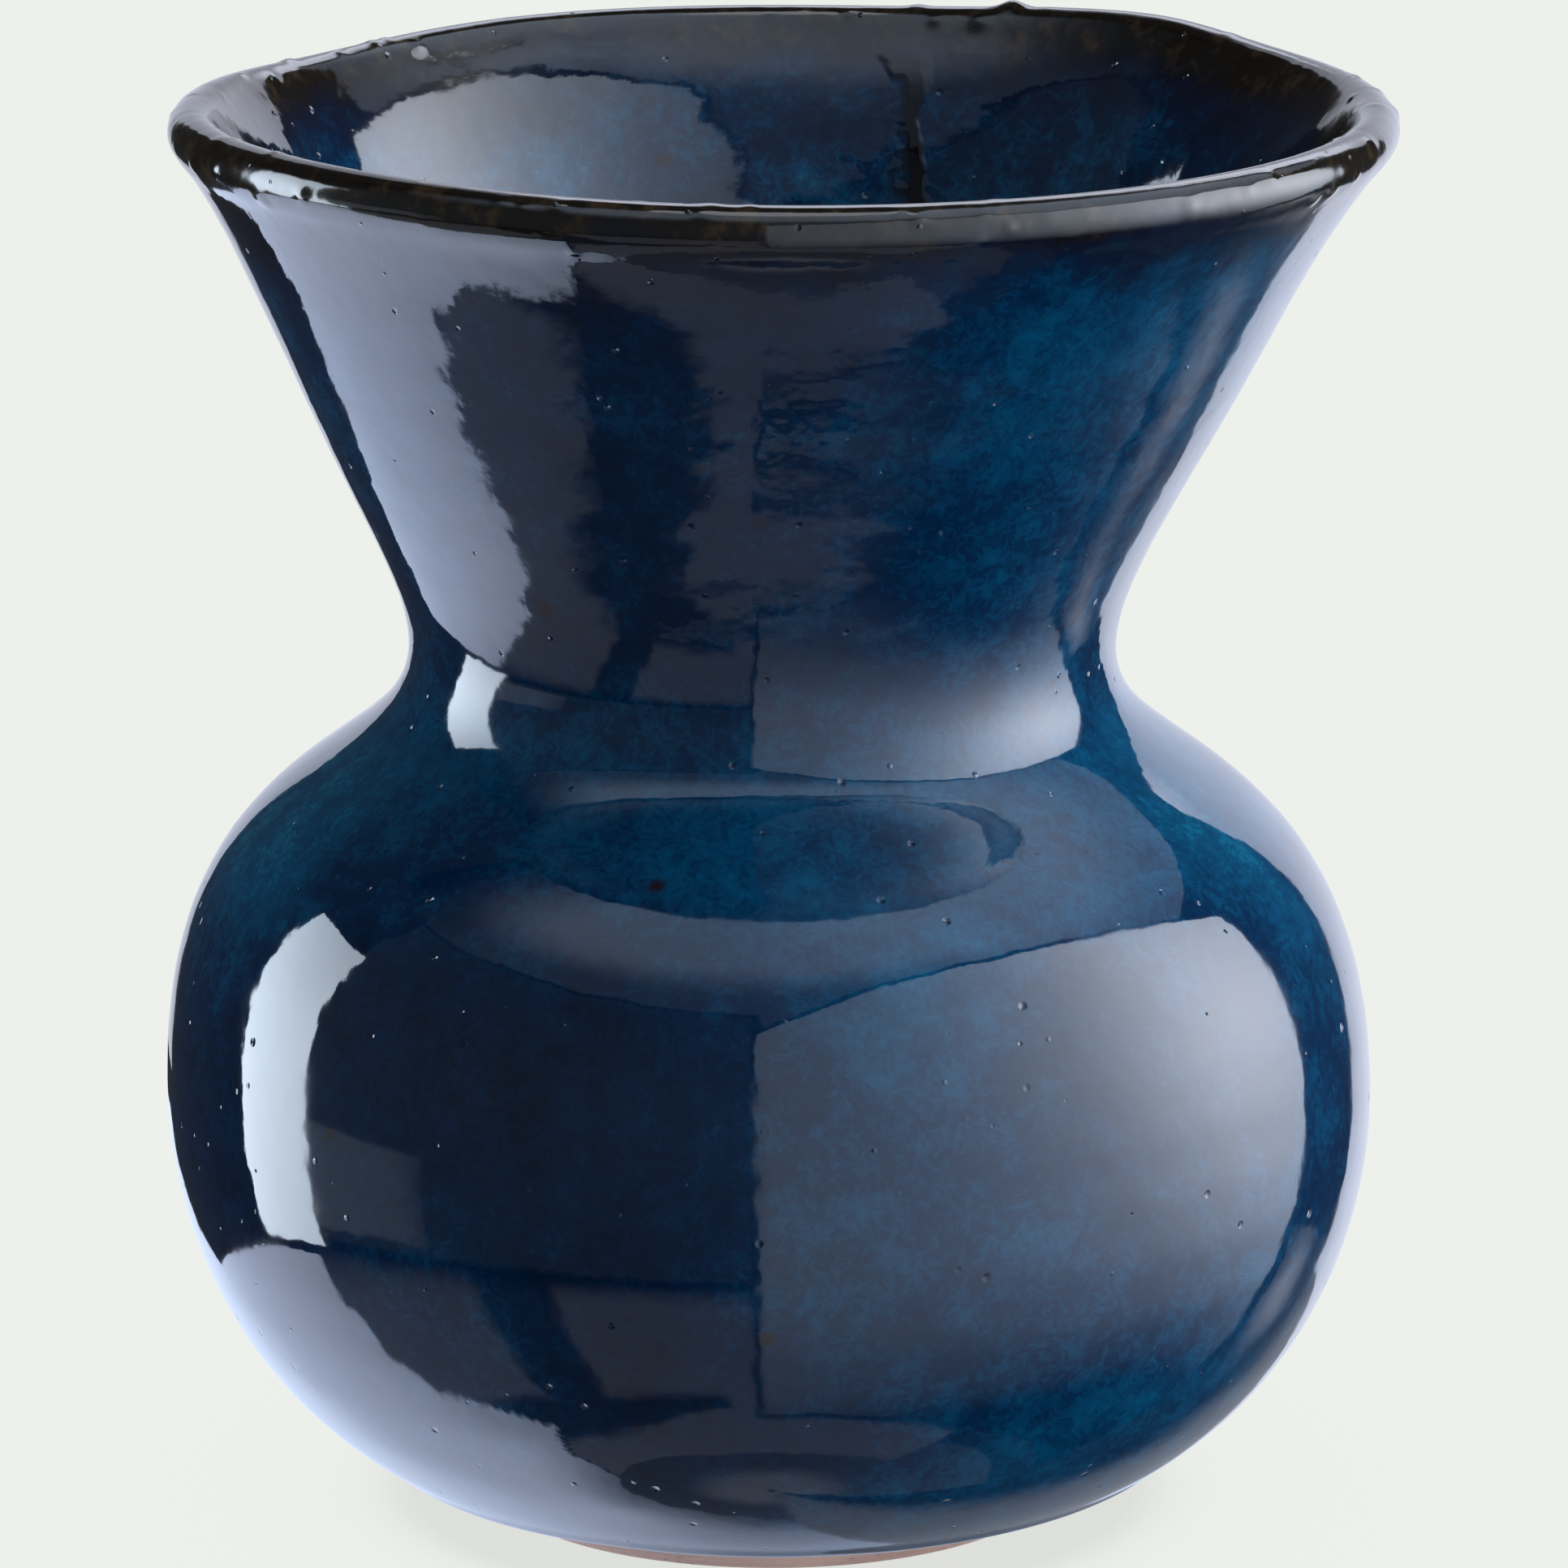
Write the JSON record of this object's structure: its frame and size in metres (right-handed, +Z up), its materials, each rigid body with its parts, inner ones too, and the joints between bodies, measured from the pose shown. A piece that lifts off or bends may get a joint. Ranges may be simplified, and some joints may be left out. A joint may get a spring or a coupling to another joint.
{
  "type": "flower vase",
  "caption": "Thrown stoneware flower vase: round belly, tight waist, trumpet mouth with a rounded lip, bare clay foot and glaze coats.",
  "frame": {"origin": "centre of the foot, on the surface that the vase stands on", "axes": "+Z up along the vase's axis; it is round, so +X and +Y have no marks of their own"},
  "size_m": [0.1316, 0.1316, 0.155],
  "materials": {
    "bare_clay": "matt fired stoneware with fine turning lines",
    "blue_glaze": "glossy navy to teal, mottled and streaked",
    "iron_rim_glaze": "glossy dark iron brown where the glaze breaks over the lip",
    "liner_glaze": "glossy navy, mottled"
  },
  "bodies": {
    "root": {"clay_body": "bare_clay", "outer_glaze": "blue_glaze", "rim_glaze": "iron_rim_glaze", "liner_glaze": "liner_glaze"}
  },
  "joints": []
}
